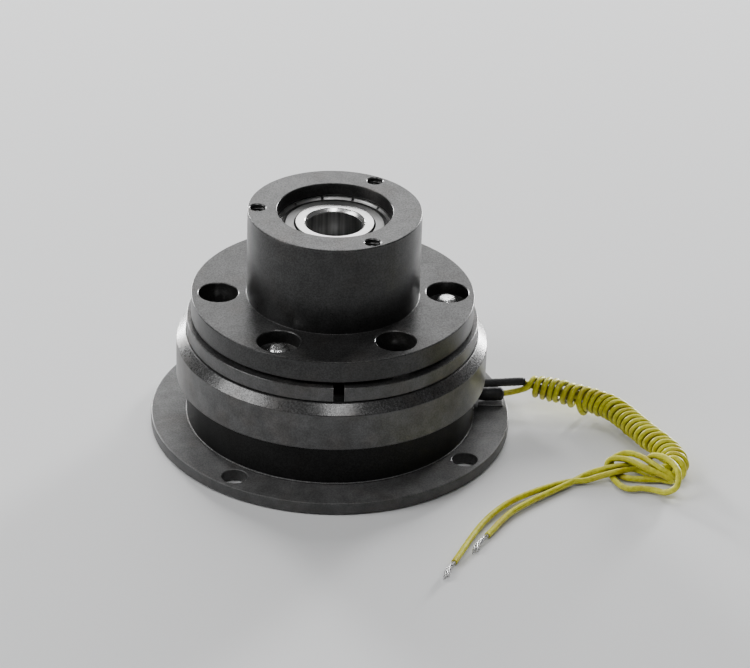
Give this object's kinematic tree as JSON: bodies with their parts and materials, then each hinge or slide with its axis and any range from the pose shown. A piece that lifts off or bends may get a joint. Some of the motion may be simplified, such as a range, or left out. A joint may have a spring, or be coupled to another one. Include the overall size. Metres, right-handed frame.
{
  "type": "electromagnetic clutch",
  "caption": "Flange-mounted electromagnetic clutch: fixed coil housing with leads, keyed rotor, spring-held armature plate and an output hub on ball bearings.",
  "frame": {"origin": "middle of the whole part's footprint, leads included, on the plane of the mounting face; the shaft axis stands at x = -24.9 mm, y = 15.0 mm", "axes": "+Z along the shaft axis, from the mounting face towards the output hub's boss; +X the way the leads leave the coil housing"},
  "size_m": [0.1496, 0.1299, 0.0661],
  "materials": {
    "blackened_steel": "black oxide on fine-turned steel, satin",
    "bearing_steel": "ground and polished bearing steel",
    "spring_steel": "rolled spring steel",
    "zinc_plated_steel": "bright plated steel",
    "friction_material": "moulded friction lining, matt and grainy",
    "bobbin_plastic": "moulded glass-filled plastic",
    "copper_winding": "enamelled copper wire",
    "potting_resin": "cast epoxy",
    "black_rubber": "matt rubber sleeve",
    "yellow_insulation": "semi-gloss soft insulation",
    "tinned_copper": "bare tinned strands"
  },
  "bodies": {
    "stator": {"mounting_flange": "blackened_steel", "field_core": "blackened_steel", "coil_bobbin": "bobbin_plastic", "coil_winding": "copper_winding", "coil_potting": "potting_resin", "core_screw_1": "zinc_plated_steel", "core_screw_2": "zinc_plated_steel", "core_screw_3": "zinc_plated_steel", "core_screw_4": "zinc_plated_steel", "lead_grommet": "black_rubber", "lead_clip": "blackened_steel", "lead_sleeve_upper": "black_rubber", "lead_sleeve_lower": "black_rubber", "lead_wire_a": "yellow_insulation", "lead_wire_b": "yellow_insulation", "wire_strands_a": "tinned_copper", "wire_strands_b": "tinned_copper"},
    "rotor": {"rotor": "blackened_steel", "friction_lining": "friction_material", "air_gap_spacer": "zinc_plated_steel", "bottom_bearing_inner_ring": "bearing_steel", "inner_ring_spacer": "zinc_plated_steel", "top_bearing_inner_ring": "bearing_steel"},
    "hub": {"output_hub": "blackened_steel", "top_bearing_outer_ring": "bearing_steel", "bottom_bearing_outer_ring": "bearing_steel", "outer_ring_spacer": "zinc_plated_steel", "top_bearing_upper_shield": "bearing_steel", "top_bearing_lower_shield": "bearing_steel", "bottom_bearing_upper_shield": "bearing_steel", "bottom_bearing_lower_shield": "bearing_steel", "retaining_ring": "spring_steel", "hub_rivet_1": "zinc_plated_steel", "hub_rivet_2": "zinc_plated_steel", "hub_rivet_3": "zinc_plated_steel", "leaf_spring_1": "spring_steel", "leaf_spring_2": "spring_steel", "leaf_spring_3": "spring_steel"},
    "armature": {"armature_plate": "blackened_steel", "armature_rivet_1": "zinc_plated_steel", "armature_rivet_2": "zinc_plated_steel", "armature_rivet_3": "zinc_plated_steel"},
    "top_balls": {"top_bearing_cage": "spring_steel", "top_bearing_ball_1": "bearing_steel", "top_bearing_ball_2": "bearing_steel", "top_bearing_ball_3": "bearing_steel", "top_bearing_ball_4": "bearing_steel", "top_bearing_ball_5": "bearing_steel", "top_bearing_ball_6": "bearing_steel", "top_bearing_ball_7": "bearing_steel", "top_bearing_ball_8": "bearing_steel"},
    "bottom_balls": {"bottom_bearing_cage": "spring_steel", "bottom_bearing_ball_1": "bearing_steel", "bottom_bearing_ball_2": "bearing_steel", "bottom_bearing_ball_3": "bearing_steel", "bottom_bearing_ball_4": "bearing_steel", "bottom_bearing_ball_5": "bearing_steel", "bottom_bearing_ball_6": "bearing_steel", "bottom_bearing_ball_7": "bearing_steel", "bottom_bearing_ball_8": "bearing_steel"}
  },
  "joints": [
    {"name": "rotor_spin", "type": "hinge", "parent": "stator", "child": "rotor", "pos_m": [-0.0249, 0.015, 0.0289], "axis": [0, 0, 1], "continuous": true},
    {"name": "hub_spin", "type": "hinge", "parent": "rotor", "child": "hub", "pos_m": [-0.0249, 0.015, 0.05], "axis": [0, 0, 1], "continuous": true},
    {"name": "armature_pull", "type": "slide", "parent": "hub", "child": "armature", "axis": [0, 0, -1], "range_m": [0, 0.0003], "deforming": ["leaf_spring_1", "leaf_spring_2", "leaf_spring_3"]},
    {"name": "top_cage_spin", "type": "hinge", "parent": "rotor", "child": "top_balls", "pos_m": [-0.0249, 0.015, 0.05695], "axis": [0, 0, 1], "continuous": true},
    {"name": "bottom_cage_spin", "type": "hinge", "parent": "rotor", "child": "bottom_balls", "pos_m": [-0.0249, 0.015, 0.04335], "axis": [0, 0, 1], "continuous": true}
  ],
  "couplings": [
    {"joint": "top_cage_spin", "follows": "hub_spin", "ratio": 0.6169},
    {"joint": "bottom_cage_spin", "follows": "hub_spin", "ratio": 0.6169}
  ]
}
